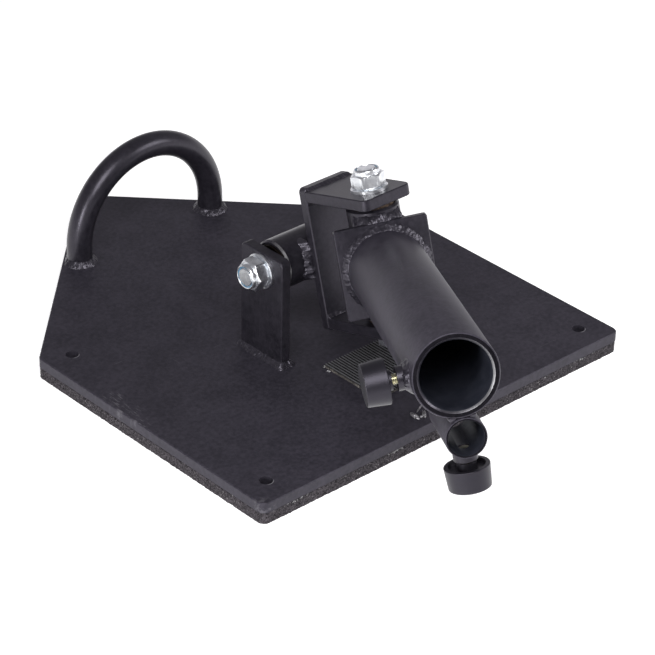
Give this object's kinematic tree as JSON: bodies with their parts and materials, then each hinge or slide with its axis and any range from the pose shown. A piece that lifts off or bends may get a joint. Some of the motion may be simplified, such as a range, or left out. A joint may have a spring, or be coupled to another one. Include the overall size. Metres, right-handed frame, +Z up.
{
  "type": "barbell pivot attachment",
  "caption": "Floor plate on a rubber mat with a carry handle and a two-way pivot that holds the end of a bar in a sleeve locked by thumbscrews.",
  "frame": {"origin": "on the floor under the rubber mat, at the centre of the four floor bolts' rectangle", "axes": "+Z up, -Y the way the bar sleeve points when it is swung straight ahead, +Y towards the plate's pointed end and the carry handle, +X across the plate along the tilt axis"},
  "size_m": [0.4003, 0.6506, 0.2204],
  "materials": {
    "black_coat": "satin powder coat",
    "painted_weld": "satin powder coat over weld",
    "mat_rubber": "matt pressed rubber crumb",
    "pad_rubber": "matt ribbed rubber",
    "zinc": "bright zinc plate",
    "yellow_zinc": "yellow passivated zinc",
    "nylon": "matt nylon",
    "bronze": "satin bronze",
    "knob_plastic": "matt moulded plastic"
  },
  "bodies": {
    "base": {"rubber_mat": "mat_rubber", "base_plate": "black_coat", "carry_handle": "black_coat", "handle_welds": "painted_weld", "left_clevis_ear": "black_coat", "right_clevis_ear": "black_coat", "clevis_welds": "painted_weld", "ribbed_pad": "pad_rubber", "tilt_bolt": "zinc", "tilt_washers": "zinc", "tilt_lock_nut": "zinc", "tilt_nut_insert": "nylon"},
    "yoke": {"tilt_barrel": "black_coat", "left_tilt_bush": "bronze", "right_tilt_bush": "bronze", "yoke_back_plate": "black_coat", "yoke_top_plate": "black_coat", "yoke_bottom_plate": "black_coat", "yoke_welds": "painted_weld", "swivel_bolt": "zinc", "swivel_washers": "zinc", "swivel_lock_nut": "zinc", "swivel_nut_insert": "nylon"},
    "bar_sleeve": {"swivel_tube": "black_coat", "upper_swivel_bush": "bronze", "lower_swivel_bush": "bronze", "sleeve_plate": "black_coat", "main_sleeve": "black_coat", "small_sleeve": "black_coat", "sleeve_welds": "painted_weld", "side_boss": "black_coat", "lower_boss": "black_coat"},
    "side_stud": {"side_screw_stud": "yellow_zinc"},
    "side_knob": {"side_screw_knob": "knob_plastic"},
    "lower_stud": {"lower_screw_stud": "yellow_zinc"},
    "lower_knob": {"lower_screw_knob": "knob_plastic"}
  },
  "joints": [
    {"name": "tilt", "type": "hinge", "parent": "base", "child": "yoke", "pos_m": [0.003, 0.019, 0.099], "axis": [-1, 0, 0], "range_deg": [-16, 148]},
    {"name": "swivel", "type": "hinge", "parent": "yoke", "child": "bar_sleeve", "pos_m": [0.003, -0.05742, 0.12091], "axis": [0, 0.2756, 0.9613], "range_deg": [-58, 122]},
    {"name": "side_screw_feed", "type": "slide", "parent": "bar_sleeve", "child": "side_stud", "axis": [0.848, -0.5094, 0.1461], "range_m": [-0.005, 0.00375]},
    {"name": "side_screw_turn", "type": "hinge", "parent": "side_stud", "child": "side_knob", "pos_m": [-0.18073, -0.25843, 0.17855], "axis": [0.848, -0.5094, 0.1461], "range_deg": [-1440.5, 1080.5]},
    {"name": "lower_screw_feed", "type": "slide", "parent": "bar_sleeve", "child": "lower_stud", "axis": [0, 0.2756, 0.9613], "range_m": [-0.005, 0.00125]},
    {"name": "lower_screw_turn", "type": "hinge", "parent": "lower_stud", "child": "lower_knob", "pos_m": [-0.14257, -0.30266, 0.11082], "axis": [0, 0.2756, 0.9613], "range_deg": [-1440.5, 360.5]}
  ],
  "couplings": [
    {"joint": "side_screw_turn", "follows": "side_screw_feed", "rad_per_m": 5026.5},
    {"joint": "lower_screw_turn", "follows": "lower_screw_feed", "rad_per_m": 5026.5}
  ]
}
